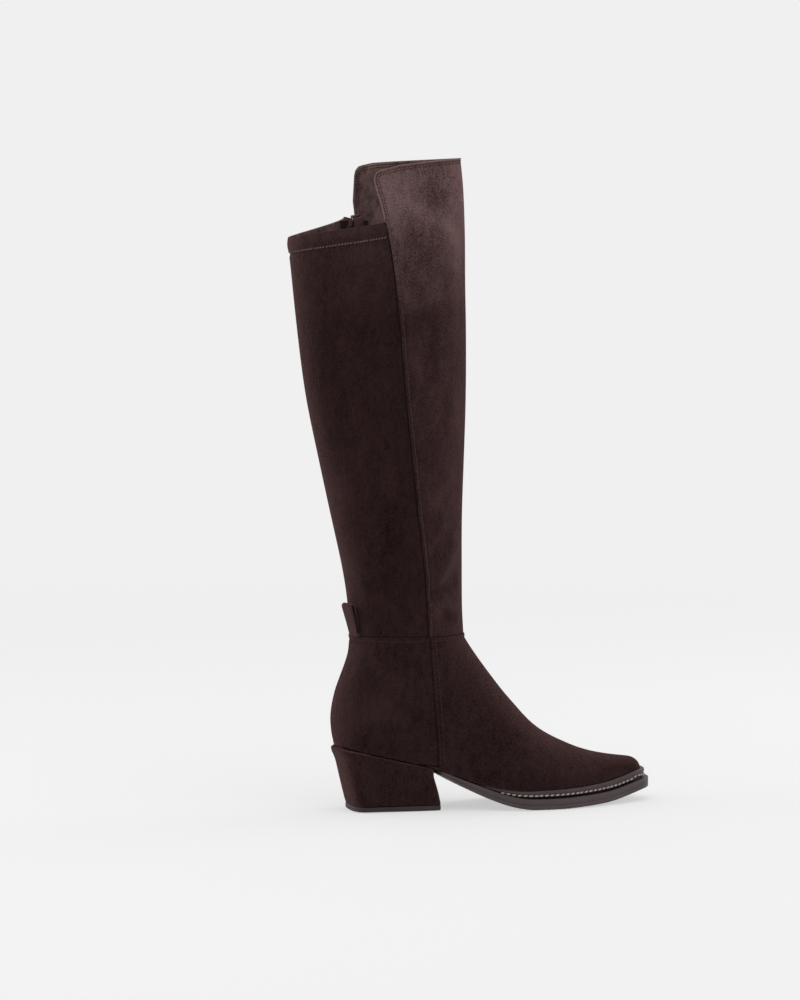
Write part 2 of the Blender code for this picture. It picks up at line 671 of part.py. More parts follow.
def make_zip(tape_finish, chain_finish, metal):
    """Tape behind the gap, the chain in it, the slider at its top and the pull on its bail."""
    tape_lift = -WALL - 2 * FIT
    sides = [TAPE_WIDTH * (k / 4 - 0.5) for k in range(5)]
    ribbon("zip_tape", sides, tape_lift, TAPE_THICKNESS, 0.004, 0.995, 30, tape_finish)
    chain_lift = tape_lift + FIT + CHAIN_THICKNESS
    chain_sides = [CHAIN_WIDTH * (k / 2 - 0.5) for k in range(3)]
    ribbon("zip_chain", chain_sides, chain_lift, CHAIN_THICKNESS, 0.015, 0.99, 34, chain_finish)

    top = zip_skin(SLIDER_PLACE, 0.0, chain_lift + FIT)
    up = zip_skin(SLIDER_PLACE + 0.015, 0.0, 0.0) - zip_skin(SLIDER_PLACE - 0.02, 0.0, 0.0)
    up = Vector(up).normalized()
    across = Vector(zip_skin(SLIDER_PLACE, 0.003, 0.0)
                    - zip_skin(SLIDER_PLACE, -0.003, 0.0)).normalized()
    out = across.cross(up).normalized()
    across = up.cross(out)
    frame = Matrix((across, up, out)).transposed().to_4x4()
    frame = Matrix.Translation(Vector(top)) @ frame

    half_width, half_length = SLIDER_WIDTH / 2, SLIDER_LENGTH / 2
    outline = []
    for i in range(12):
        angle = 2 * math.pi * i / 12
        squeeze = 0.82 if math.sin(angle) < 0 else 1.0
        outline.append((half_width * squeeze * math.copysign(abs(math.cos(angle)) ** 0.6, math.cos(angle)),
                        half_length * math.copysign(abs(math.sin(angle)) ** 0.7, math.sin(angle))))
    body = bpy.data.curves.new("zip_slider", "CURVE")
    body.dimensions = "2D"
    body.fill_mode = "BOTH"
    body.extrude = SLIDER_THICKNESS / 2
    spline = body.splines.new("POLY")
    spline.points.add(len(outline) - 1)
    for point, (x, y) in zip(spline.points, outline):
        point.co = (x, y, SLIDER_THICKNESS / 2, 1)
    spline.use_cyclic_u = True
    slider = as_mesh("zip_slider", body, metal)

    axis_height = SLIDER_THICKNESS + (BAIL_RISE - BAIL_WIRE) / 2
    bail = bpy.data.curves.new("bail", "CURVE")
    bail.dimensions = "3D"
    bail.bevel_depth = BAIL_WIRE / 2
    bail.bevel_resolution = 2
    bail.use_fill_caps = True
    arch = bail.splines.new("POLY")
    steps = 10
    arch.points.add(steps)
    for i, point in enumerate(arch.points):
        angle = math.pi * i / steps
        point.co = (0.0, 0.0034 * math.cos(angle),
                    SLIDER_THICKNESS - 0.0006 + (BAIL_RISE - BAIL_WIRE / 2 + 0.0006) * math.sin(angle), 1)
    wire = as_mesh("bail", bail, metal)
    join = slider.modifiers.new("bail", "BOOLEAN")
    join.operation = "UNION"
    join.object = wire
    bake(slider)
    bpy.data.objects.remove(wire)
    slider.data.transform(frame)

    make_pull(metal, frame, axis_height)


def as_mesh(name, curve, finish):
    """Turns a curve into a mesh object with welded caps."""
    holder = bpy.data.objects.new(name + "_curve", curve)
    PARTS.objects.link(holder)
    bpy.context.view_layer.update()
    mesh = bpy.data.meshes.new_from_object(holder.evaluated_get(bpy.context.evaluated_depsgraph_get()))
    bpy.data.objects.remove(holder)
    weld(mesh)
    obj = bpy.data.objects.new(name, mesh)
    mesh.materials.clear()
    mesh.materials.append(finish)
    PARTS.objects.link(obj)
    return obj


def weld(mesh):
    shape = bmesh.new()
    shape.from_mesh(mesh)
    bmesh.ops.remove_doubles(shape, verts=shape.verts, dist=0.00001)
    bmesh.ops.recalc_face_normals(shape, faces=shape.faces)
    shape.to_mesh(mesh)
    shape.free()


def bake(obj):
    """Replaces an object's mesh by its evaluated one."""
    bpy.context.view_layer.update()
    ready = obj.evaluated_get(bpy.context.evaluated_depsgraph_get())
    mesh = bpy.data.meshes.new_from_object(ready)
    obj.modifiers.clear()
    obj.data = mesh


def make_pull(metal, frame, axis_height):
    """Ring and tab in one plate. The ring's top bar lies under the bail, and the hinge's axis
    runs along it, where the pull has its origin."""
    half = PULL_WIDTH / 2
    bar = half - PULL_EYE
    ring = 0.5 * PULL_LENGTH
    right = [(0.55 * half, bar / 2), (0.92 * half, -0.3 * bar), (half, -0.35 * ring),
             (0.9 * half, -0.85 * ring), (0.84 * half, -ring), (0.94 * half, -1.2 * ring),
             (0.9 * half, -PULL_LENGTH + 0.25 * half), (0.5 * half, -PULL_LENGTH)]
    eye = [(0.75 * PULL_EYE, -bar / 2), (PULL_EYE, -0.3 * ring), (0.9 * PULL_EYE, -0.7 * ring),
           (0.5 * PULL_EYE, -0.84 * ring)]
    flat = bpy.data.curves.new("zip_pull", "CURVE")
    flat.dimensions = "2D"
    flat.fill_mode = "BOTH"
    flat.extrude = PULL_THICKNESS / 2
    for line in (right, eye):
        outline = line + [(-x, y) for x, y in reversed(line)]
        spline = flat.splines.new("POLY")
        spline.points.add(len(outline) - 1)
        for point, (x, y) in zip(spline.points, outline):
            point.co = (x, y, 0.0, 1)
        spline.use_cyclic_u = True
    pull = as_mesh("zip_pull", flat, metal)
    pull.matrix_world = frame @ Matrix.Translation((0, 0, axis_height))


for old in list(bpy.data.objects):
    bpy.data.objects.remove(old)
PARTS = bpy.data.collections.new("knee_high_boot")
bpy.context.scene.collection.children.link(PARTS)

suede = material("suede_brown", (0.030, 0.014, 0.013), 0.9)
stretch = material("suede_stretch_brown", (0.024, 0.011, 0.011), 0.9)
rubber = material("rubber_brown", (0.065, 0.045, 0.048), 0.55)
cord = material("welt_brown", (0.050, 0.032, 0.034), 0.6)
lining = material("lining_tan", (0.35, 0.22, 0.16), 0.7)
tape = material("tape_brown", (0.020, 0.011, 0.010), 0.85)
teeth = material("zip_bronze", (0.16, 0.11, 0.08), 0.4, 0.9)
bronze = material("pull_bronze", (0.12, 0.08, 0.06), 0.35, 0.9)

make_upper(suede)
make_shaft_front(suede)
make_shaft_back(stretch)
make_outsole(rubber)
make_welt(cord)
make_heel(suede)
make_top_lift(rubber)
make_insole(lining)
make_pull_loop(suede)
make_zip(tape, teeth, bronze)
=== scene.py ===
import math

import bmesh
import bpy
import numpy as np
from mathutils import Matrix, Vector
from mathutils.bvhtree import BVHTree


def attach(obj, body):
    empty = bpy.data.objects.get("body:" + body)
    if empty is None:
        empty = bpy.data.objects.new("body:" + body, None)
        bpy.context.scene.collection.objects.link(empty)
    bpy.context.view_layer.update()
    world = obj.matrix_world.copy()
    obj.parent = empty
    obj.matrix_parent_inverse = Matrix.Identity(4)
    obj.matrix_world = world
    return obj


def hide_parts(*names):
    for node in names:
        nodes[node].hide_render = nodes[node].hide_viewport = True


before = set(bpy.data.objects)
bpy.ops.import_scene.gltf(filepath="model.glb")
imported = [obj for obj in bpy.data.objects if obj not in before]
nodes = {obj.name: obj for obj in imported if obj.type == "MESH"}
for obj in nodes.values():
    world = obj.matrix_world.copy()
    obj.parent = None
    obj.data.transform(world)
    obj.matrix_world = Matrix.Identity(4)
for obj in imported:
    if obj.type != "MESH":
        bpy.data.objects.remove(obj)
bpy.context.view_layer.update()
bpy.ops.object.select_all(action="DESELECT")
print("stage: frame loaded")


# Camera, at the photograph's angle to the shoe
cameraSettings = {
    "place": (-0.907, -3.306, 0.4867),
    "turn": 15.46,
    "dip": 3.777,
    "lens": 147.4,
}
bpy.ops.object.camera_add(
    location=cameraSettings["place"],
    rotation=(math.radians(90 - cameraSettings["dip"]), 0, math.radians(-cameraSettings["turn"])),
)
camera = bpy.context.object
camera.name = "studioCamera"
camera.data.lens = cameraSettings["lens"]
camera.data.clip_end = 60
bpy.context.scene.camera = camera

# Light: a soft surround, a wide box overhead and a strip behind each side
lightSettings = {
    "surround": (0.8714, 0.8714, 0.8714),
    "boxes": [
        ("overhead", (-0.2, -0.9, 2.4), (0.0, 0.0, 0.35), 1.8, 9.0),
        ("rightStrip", (1.9, 0.5, 1.0), (0.0, 0.0, 0.30), 1.2, 9.0),
        ("leftStrip", (-1.9, 0.3, 0.9), (0.0, 0.0, 0.25), 1.2, 9.0),
    ],
}
world = bpy.data.worlds.new("paleSurround")
bpy.context.scene.world = world
world.use_nodes = True
world.node_tree.nodes["Background"].inputs["Color"].default_value = (*lightSettings["surround"], 1)
for lightName, place, target, size, power in lightSettings["boxes"]:
    bpy.ops.object.light_add(type="AREA", location=place)
    lamp = bpy.context.object
    lamp.name = lightName
    lamp.data.size = size
    lamp.data.energy = power
    aim = Vector(target) - Vector(place)
    lamp.rotation_euler = aim.to_track_quat("-Z", "Y").to_euler()
bpy.context.scene.view_settings.view_transform = "Standard"
print("stage: camera and light")


# Small tools for materials
def newMaterial(name):
    made = bpy.data.materials.new(name)
    made.use_nodes = True
    tree = made.node_tree
    shader = tree.nodes["Principled BSDF"]
    place = tree.nodes.new("ShaderNodeTexCoord")
    return made, tree, shader, place


def addNoise(tree, place, scale, detail=3.0, roughness=0.55, stretch=(1, 1, 1)):
    mapping = tree.nodes.new("ShaderNodeMapping")
    mapping.inputs["Scale"].default_value = stretch
    tree.links.new(place.outputs["Object"], mapping.inputs["Vector"])
    noise = tree.nodes.new("ShaderNodeTexNoise")
    noise.inputs["Scale"].default_value = scale
    noise.inputs["Detail"].default_value = detail
    noise.inputs["Roughness"].default_value = roughness
    tree.links.new(mapping.outputs["Vector"], noise.inputs["Vector"])
    return noise.outputs["Fac"]


def addRange(tree, value, low, high, toLow=0.0, toHigh=1.0):
    node = tree.nodes.new("ShaderNodeMapRange")
    node.inputs["From Min"].default_value = low
    node.inputs["From Max"].default_value = high
    node.inputs["To Min"].default_value = toLow
    node.inputs["To Max"].default_value = toHigh
    tree.links.new(value, node.inputs["Value"])
    return node.outputs["Result"]


def addMix(tree, amount, first, second, blend="MIX"):
    node = tree.nodes.new("ShaderNodeMix")
    node.data_type = "RGBA"
    node.blend_type = blend
    for socket, value in ((node.inputs[6], first), (node.inputs[7], second)):
        if isinstance(value, tuple):
            socket.default_value = (*value, 1)
        else:
            tree.links.new(value, socket)
    if isinstance(amount, float):
        node.inputs[0].default_value = amount
    else:
        tree.links.new(amount, node.inputs[0])
    return node.outputs[2]


def addBump(tree, shader, height, strength, distance):
    node = tree.nodes.new("ShaderNodeBump")
    node.inputs["Strength"].default_value = strength
    node.inputs["Distance"].default_value = distance
    tree.links.new(height, node.inputs["Height"])
    tree.links.new(node.outputs["Normal"], shader.inputs["Normal"])


def addSum(tree, first, second, weight):
    node = tree.nodes.new("ShaderNodeMath")
    node.operation = "MULTIPLY_ADD"
    node.inputs[1].default_value = weight
    tree.links.new(second, node.inputs[0])
    tree.links.new(first, node.inputs[2])
    return node.outputs[0]


# Suede: a short nap, brushed up and pale in clouds and where the attribute nap says so; that attribute
# also carries painted highlights and painted shade.
# Towards the top the colour goes to a paler pair, from one height on the shaft to another, up to its share
# at the top: partly the suede's own paler top, partly painted light from above
def makeSuede(name, look):
    made, tree, shader, place = newMaterial(name)
    # The nap attribute holds brushed nap together with painted highlights and painted shade
    brushedAndLit = tree.nodes.new("ShaderNodeAttribute")
    brushedAndLit.attribute_name = "napAndLight"
    clouds = addRange(tree, addNoise(tree, place, 34, 4.0, 0.62, (1, 1, 0.6)), 0.36, 0.66)
    blotches = addRange(tree, addNoise(tree, place, 170, 3.0, 0.6, (1, 1, 0.5)), 0.37, 0.64)
    streaks = addRange(tree, addNoise(tree, place, 420, 2.0, 0.6, (1, 1, 0.35)), 0.36, 0.64)
    grain = addRange(tree, addNoise(tree, place, 900, 2.0, 0.8), 0.37, 0.63)
    fibre = addNoise(tree, place, 1700, 2.0, 0.7, (1, 1, 0.6))
    paleness = addSum(tree, brushedAndLit.outputs["Fac"], clouds, look["clouds"])
    paleness = addSum(tree, paleness, blotches, look["blotches"])
    paleness = addSum(tree, paleness, streaks, look["streaks"])
    paleness = addSum(tree, paleness, grain, look["grain"])
    share = addRange(tree, paleness, 0.0, 1.0)
    color = addMix(tree, share, look["dark"], look["light"])
    # Paler colour towards the top: partly the suede's own tone, partly painted light from above
    if "paleAndLitTop" in look:
        split = tree.nodes.new("ShaderNodeSeparateXYZ")
        tree.links.new(place.outputs["Object"], split.inputs[0])
        low, high, amount = look["paleAndLitTop"]
        fade = addRange(tree, split.outputs["Z"], low, high, 0.0, amount)
        pale = addMix(tree, share, look["paleLitTopDark"], look["paleLitTopLight"])
        color = addMix(tree, fade, color, pale)
    tree.links.new(color, shader.inputs["Base Color"])
    shader.inputs["Roughness"].default_value = 1.0
    shader.inputs["Specular IOR Level"].default_value = 0.02
    shader.inputs["Sheen Weight"].default_value = look["sheen"]
    shader.inputs["Sheen Roughness"].default_value = 0.4
    shader.inputs["Sheen Tint"].default_value = (*look["sheenTint"], 1)
    height = addSum(tree, grain, fibre, 0.6)
    addBump(tree, shader, height, 0.75, 0.0006)
    return made


suedeLooks = {
    "footSuede": {
        "dark": (0.0060, 0.0023, 0.0023), "light": (0.032, 0.0168, 0.0166),
        "clouds": 0.24, "blotches": 0.24, "streaks": 0.16, "grain": 0.64,
        "sheen": 0.19, "sheenTint": (1.0, 0.54, 0.52),
    },
    "frontSuede": {
        "dark": (0.0090, 0.0036, 0.0036), "light": (0.047, 0.0246, 0.0244),
        "clouds": 0.30, "blotches": 0.20, "streaks": 0.08, "grain": 0.62,
        "sheen": 0.15, "sheenTint": (1.0, 0.56, 0.54), "paleAndLitTop": (0.415, 0.51, 1.0),
        "paleLitTopDark": (0.036, 0.0180, 0.0180), "paleLitTopLight": (0.178, 0.110, 0.108),
    },
    "backSuede": {
        "dark": (0.0058, 0.0021, 0.0021), "light": (0.030, 0.0150, 0.0150),
        "clouds": 0.26, "blotches": 0.22, "streaks": 0.16, "grain": 0.62,
        "sheen": 0.22, "sheenTint": (1.0, 0.56, 0.54), "paleAndLitTop": (0.41, 0.48, 0.7),
        "paleLitTopDark": (0.012, 0.0050, 0.0050), "paleLitTopLight": (0.052, 0.0285, 0.0285),
    },
    "innerSuede": {
        "dark": (0.0430, 0.0235, 0.0226), "light": (0.250, 0.1600, 0.1520),
        "clouds": 0.42, "blotches": 0.46, "streaks": 0.06, "grain": 0.34,
        "sheen": 0.15, "sheenTint": (1.0, 0.70, 0.66),
    },
}
suede = {name: makeSuede(name, look) for name, look in suedeLooks.items()}


# Moulded rubber of the sole: faint speckle and a dull sheen
def makeRubber(name, dark, light, roughness):
    made, tree, shader, place = newMaterial(name)
    cloud = addRange(tree, addNoise(tree, place, 45, 3.0), 0.35, 0.65)
    speck = addRange(tree, addNoise(tree, place, 900, 2.0, 0.7), 0.35, 0.7)
    color = addMix(tree, cloud, dark, light)
    speckShare = addRange(tree, speck, 0, 1, 0.0, 0.12)
    color = addMix(tree, speckShare, color, tuple(2.2 * c for c in light))
    tree.links.new(color, shader.inputs["Base Color"])
    dullness = addRange(tree, speck, 0, 1, roughness - 0.06, roughness + 0.08)
    tree.links.new(dullness, shader.inputs["Roughness"])
    shader.inputs["Specular IOR Level"].default_value = 0.3
    addBump(tree, shader, speck, 0.25, 0.0002)
    return made


soleRubber = makeRubber("soleRubber", (0.044, 0.029, 0.031), (0.058, 0.041, 0.043), 0.50)
weltLeather = makeRubber("weltLeather", (0.036, 0.022, 0.023), (0.050, 0.033, 0.034), 0.55)
liftRubber = makeRubber("liftRubber", (0.020, 0.010, 0.011), (0.030, 0.017, 0.018), 0.60)


# Lining: thin smooth leather with fine pores
def makeLining():
    made, tree, shader, place = newMaterial("innerLining")
    cloud = addRange(tree, addNoise(tree, place, 30, 3.0), 0.35, 0.65)
    pores = addRange(tree, addNoise(tree, place, 1100, 2.0, 0.6), 0.35, 0.65)
    color = addMix(tree, cloud, (0.085, 0.048, 0.040), (0.125, 0.074, 0.062))
    tree.links.new(color, shader.inputs["Base Color"])
    shader.inputs["Roughness"].default_value = 0.7
    addBump(tree, shader, pores, 0.3, 0.0002)
    return made


lining = makeLining()


# Sewing thread, and the tape and metal of the zip
def makeThread(name, color, pale):
    made, tree, shader, place = newMaterial(name)
    twist = addRange(tree, addNoise(tree, place, 1400, 2.0), 0.35, 0.65)
    tree.links.new(addMix(tree, twist, color, pale), shader.inputs["Base Color"])
    shader.inputs["Roughness"].default_value = 0.7
    shader.inputs["Specular IOR Level"].default_value = 0.1
    addBump(tree, shader, twist, 0.4, 0.0002)
    return made


seamThread = makeThread("seamThread", (0.078, 0.042, 0.038), (0.150, 0.090, 0.082))
hemThread = makeThread("hemThread", (0.095, 0.054, 0.048), (0.175, 0.108, 0.096))
weltThread = makeThread("weltThread", (0.26, 0.20, 0.195), (0.46, 0.38, 0.37))
tapeCloth = makeThread("tapeCloth", (0.016, 0.009, 0.0085), (0.034, 0.020, 0.019))
footThread = makeThread("footThread", (0.034, 0.017, 0.016), (0.070, 0.038, 0.036))
# Colour for the flap's free edge: the cut edge's own paler tone with a painted highlight
rimEdgeHighlight = makeThread("rimEdgeHighlight", (0.110, 0.068, 0.061), (0.200, 0.128, 0.115))
# Near-black painted shade, laid in gaps, slits, needle holes and the welt's groove
paintedGapShade = makeThread("paintedGapShade", (0.0030, 0.0014, 0.0014), (0.0060, 0.0030, 0.0030))


def makeMetal(name, dark, light, roughness):
    made, tree, shader, place = newMaterial(name)
    wear = addRange(tree, addNoise(tree, place, 260, 3.0), 0.35, 0.65)
    tree.links.new(addMix(tree, wear, dark, light), shader.inputs["Base Color"])
    tree.links.new(addRange(tree, wear, 0, 1, roughness, roughness + 0.15), shader.inputs["Roughness"])
    shader.inputs["Metallic"].default_value = 0.9
    addBump(tree, shader, wear, 0.1, 0.0001)
    return made


bronze = makeMetal("agedBronze", (0.085, 0.060, 0.052), (0.16, 0.115, 0.098), 0.32)
print("stage: materials")


def select(piece):
    bpy.ops.object.select_all(action="DESELECT")
    piece.select_set(True)
    bpy.context.view_layer.objects.active = piece


# How the CAD skins are read: corners closer than merge are one, and an edge is sharp from an angle on
skinReading = {
    "merge": 0.000002,
    "sharp": math.radians(38),
    "flat": math.radians(50),
    "quad": math.radians(70),
}


# Copies of the CAD skins, merged into one surface, made fine and kept sharp at their edges
def dressedCopy(node, name, finish, levels, crease=0.75, body="boot"):
    mesh = nodes[node].data.copy()
    mesh.name = name
    mesh.transform(nodes[node].matrix_world)
    shape = bmesh.new()
    shape.from_mesh(mesh)
    bmesh.ops.remove_doubles(shape, verts=shape.verts, dist=skinReading["merge"])
    bmesh.ops.join_triangles(shape, faces=shape.faces, angle_face_threshold=skinReading["flat"],
                             angle_shape_threshold=skinReading["quad"])
    layer = shape.edges.layers.float.new("crease_edge")
    for edge in shape.edges:
        if len(edge.link_faces) == 2 and edge.calc_face_angle(0) > skinReading["sharp"]:
            edge[layer] = crease
    shape.to_mesh(mesh)
    shape.free()
    piece = bpy.data.objects.new(name, mesh)
    bpy.context.scene.collection.objects.link(piece)
    mesh.materials.clear()
    mesh.materials.append(finish)
    fine = piece.modifiers.new("fine", "SUBSURF")
    fine.levels = levels
    fine.render_levels = levels
    select(piece)
    bpy.ops.object.modifier_apply(modifier="fine")
    piece.data.shade_smooth()
    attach(piece, body)
    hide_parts(node)
    return piece


def pointsOf(piece, what="co"):
    flat = np.empty(3 * len(piece.data.vertices))
    piece.data.vertices.foreach_get(what, flat)
    return flat.reshape(-1, 3)


pressSettings = {"chunk": 4000, "facing": 0.2}


# Moves the outer face in by depth near a line, in a soft trough. A ridge has a depth below 0
def press(piece, line, width, depth, bothFaces=False):
    points = pointsOf(piece)
    normals = pointsOf(piece, "normal")
    places = np.array([row[0] for row in line])
    facing = np.array([row[1] for row in line])
    near = np.all((points > places.min(0) - width) & (points < places.max(0) + width), axis=1)
    for chunk in np.array_split(np.nonzero(near)[0], max(1, near.sum() // pressSettings["chunk"])):
        apart = np.linalg.norm(points[chunk, None] - places[None], axis=2)
        nearest = apart.argmin(1)
        distance = apart[np.arange(len(chunk)), nearest]
        share = np.clip(1 - (distance / width) ** 2, 0, 1) ** 2
        alike = (normals[chunk] * facing[nearest]).sum(1)
        share *= bothFaces | (alike > pressSettings["facing"])
        points[chunk] -= facing[nearest] * (share * depth)[:, None]
    piece.data.vertices.foreach_set("co", points.ravel())
    piece.data.update()


def treeOf(piece):
    points = [tuple(row) for row in pointsOf(piece)]
    return BVHTree.FromPolygons(points, [tuple(face.vertices) for face in piece.data.polygons])


def outwardAt(degrees):
    return Vector((math.cos(math.radians(degrees)), math.sin(math.radians(degrees)), 0))


def lengthsAlong(points):
    steps = np.linalg.norm(np.diff(points, axis=0), axis=1)
    return np.concatenate([[0], np.cumsum(steps)])


# Lines on a skin are lists of places and normals, evenly spaced
lineSpacing = 0.0008


def snapped(tree, points, spacing=lineSpacing):
    points = np.array(points, dtype=float)
    reach = lengthsAlong(points)
    count = max(2, int(reach[-1] / spacing) + 1)
    line = []
    for at in np.linspace(0, reach[-1], count):
        point = Vector([np.interp(at, reach, points[:, k]) for k in range(3)])
        place, normal, _, _ = tree.find_nearest(point)
        line.append((np.array(place), np.array(normal)))
    return line


# A line at a distance from a rim, on the side of the rim that faces the panel's middle
def insetLine(tree, line, distance, inner):
    moved = []
    for i, (place, normal) in enumerate(line):
        ahead = line[min(i + 3, len(line) - 1)][0] - line[max(i - 3, 0)][0]
        across = np.cross(normal, ahead)
        across /= max(np.linalg.norm(across), 1e-9)
        if across @ (np.array(inner) - place) < 0:
            across = -across
        near, facing, _, _ = tree.find_nearest(Vector(place + across * distance))
        moved.append((np.array(near), np.array(facing)))
    return moved


# How rays are cast at a skin: their spacing, how far off they start, and a depth within the wall
castSettings = {"step": 0.001, "sideFrom": 0.2, "ringFrom": 0.3, "ringPlaces": 90, "wall": 0.008}


# A table of heights and places along the shoe, cast on the skin from one side: -1 is the lateral one
def sideLine(tree, table, side, spacing=lineSpacing):
    rows = np.array(table)
    reach = lengthsAlong(rows)
    points = []
    for at in np.linspace(0, reach[-1], int(reach[-1] / castSettings["step"]) + 2):
        z, x = (np.interp(at, reach, rows[:, k]) for k in (0, 1))
        start = Vector((x, side * castSettings["sideFrom"], z))
        place, _, _, _ = tree.ray_cast(start, Vector((0, -side, 0)))
        if place:
            points.append(tuple(place))
    return snapped(tree, points, spacing)


# The same line on the inner face of the wall
def insideOf(tree, line):
    turned = []
    for place, normal in line:
        inner, _, _, _ = tree.ray_cast(Vector(place - normal * castSettings["wall"]), Vector(normal))
        if inner:
            turned.append((np.array(inner), -normal))
    return turned


# Stitches: small rounded bars of thread, laid head to tail along lines
bpy.ops.mesh.primitive_uv_sphere_add(segments=6, ring_count=4, radius=1.0)
bar = bpy.context.object
barShape = (pointsOf(bar), [tuple(face.vertices) for face in bar.data.polygons])
bpy.data.objects.remove(bar)


# Lays one shape after the other along each line. A lean turns them toward the line's side
def sew(name, rows, look, shape=barShape):
    points = []
    faces = []
    for line in rows:
        places = np.array([row[0] for row in line])
        reach = lengthsAlong(places)
        at = look["pitch"] / 2
        while at < reach[-1] - look["pitch"] / 2:
            i = int(np.searchsorted(reach, at))
            place, normal = line[i]
            along = places[min(i + 2, len(places) - 1)] - places[max(i - 2, 0)]
            along = along - normal * (along @ normal)
            along /= max(np.linalg.norm(along), 1e-9)
            across = np.cross(normal, along)
            lean = look.get("lean", 0.0)
            along, across = (along + lean * across, across - lean * along)
            base = len(points)
            for x, y, z in shape[0]:
                points.append(place + normal * (look["rise"] + y * look["height"] / 2)
                              + across * (x * look["width"] / 2) + along * (z * look["length"] / 2))
            faces += [tuple(base + k for k in face) for face in shape[1]]
            at += look["pitch"]
    mesh = bpy.data.meshes.new(name)
    mesh.from_pydata([tuple(p) for p in points], [], faces)
    mesh.materials.append(look["finish"])
    mesh.shade_smooth()
    piece = bpy.data.objects.new(name, mesh)
    bpy.context.scene.collection.objects.link(piece)
    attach(piece, "boot")


# A thin round cord along a line, sunk into the skin by a share of its radius
def layCord(name, line, radius, sink, finish, closed=False):
    curve = bpy.data.curves.new(name, "CURVE")
    curve.dimensions = "3D"
    curve.bevel_depth = radius
    curve.bevel_resolution = 1
    curve.use_fill_caps = True
    spline = curve.splines.new("POLY")
    spline.points.add(len(line) - 1)
    spline.use_cyclic_u = closed
    for point, (place, normal) in zip(spline.points, line):
        point.co = (*(place - normal * radius * sink), 1)
    piece = bpy.data.objects.new(name, curve)
    bpy.context.scene.collection.objects.link(piece)
    select(piece)
    bpy.ops.object.convert(target="MESH")
    piece = bpy.context.object
    piece.data.materials.clear()
    piece.data.materials.append(finish)
    piece.data.shade_smooth()
    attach(piece, "boot")


upper = dressedCopy("upper", "suedeUpper", suede["footSuede"], 2)
shaftFront = dressedCopy("shaft_front", "suedeShaftFront", suede["frontSuede"], 3)
shaftBack = dressedCopy("shaft_back", "suedeShaftBack", suede["backSuede"], 3)
heel = dressedCopy("heel", "coveredHeel", suede["footSuede"], 3)
dressedCopy("outsole", "rubberOutsole", soleRubber, 1)
welt = dressedCopy("welt", "stitchedWelt", weltLeather, 2, crease=0.35)
dressedCopy("top_lift", "heelLift", liftRubber, 2)
dressedCopy("insole", "liningSock", lining, 1)
pullLoop = dressedCopy("pull_loop", "suedePullLoop", suede["frontSuede"], 2)
dressedCopy("zip_slider", "bronzeSlider", bronze, 1)
dressedCopy("zip_pull", "bronzePull", bronze, 1, body="zip_pull")
for node, finish in (("zip_tape", tapeCloth), ("zip_chain", tapeCloth)):
    nodes[node].data.materials.clear()
    nodes[node].data.materials.append(finish)
print("stage: skins")


# Faces that look toward the middle of the shaft or foot take the paler inner suede
innerFaces = {"inward": 0.35, "shaftMiddle": 0.0, "footMiddle": 0.03}


def lineInside(piece, finish, middle):
    piece.data.materials.append(finish)
    for face in piece.data.polygons:
        x = face.center.x - middle
        y = face.center.y
        if face.normal.x * x + face.normal.y * y < -innerFaces["inward"] * math.hypot(x, y):
            face.material_index = 1


lineInside(shaftFront, suede["innerSuede"], innerFaces["shaftMiddle"])
lineInside(shaftBack, suede["innerSuede"], innerFaces["shaftMiddle"])
lineInside(upper, suede["innerSuede"], innerFaces["footMiddle"])


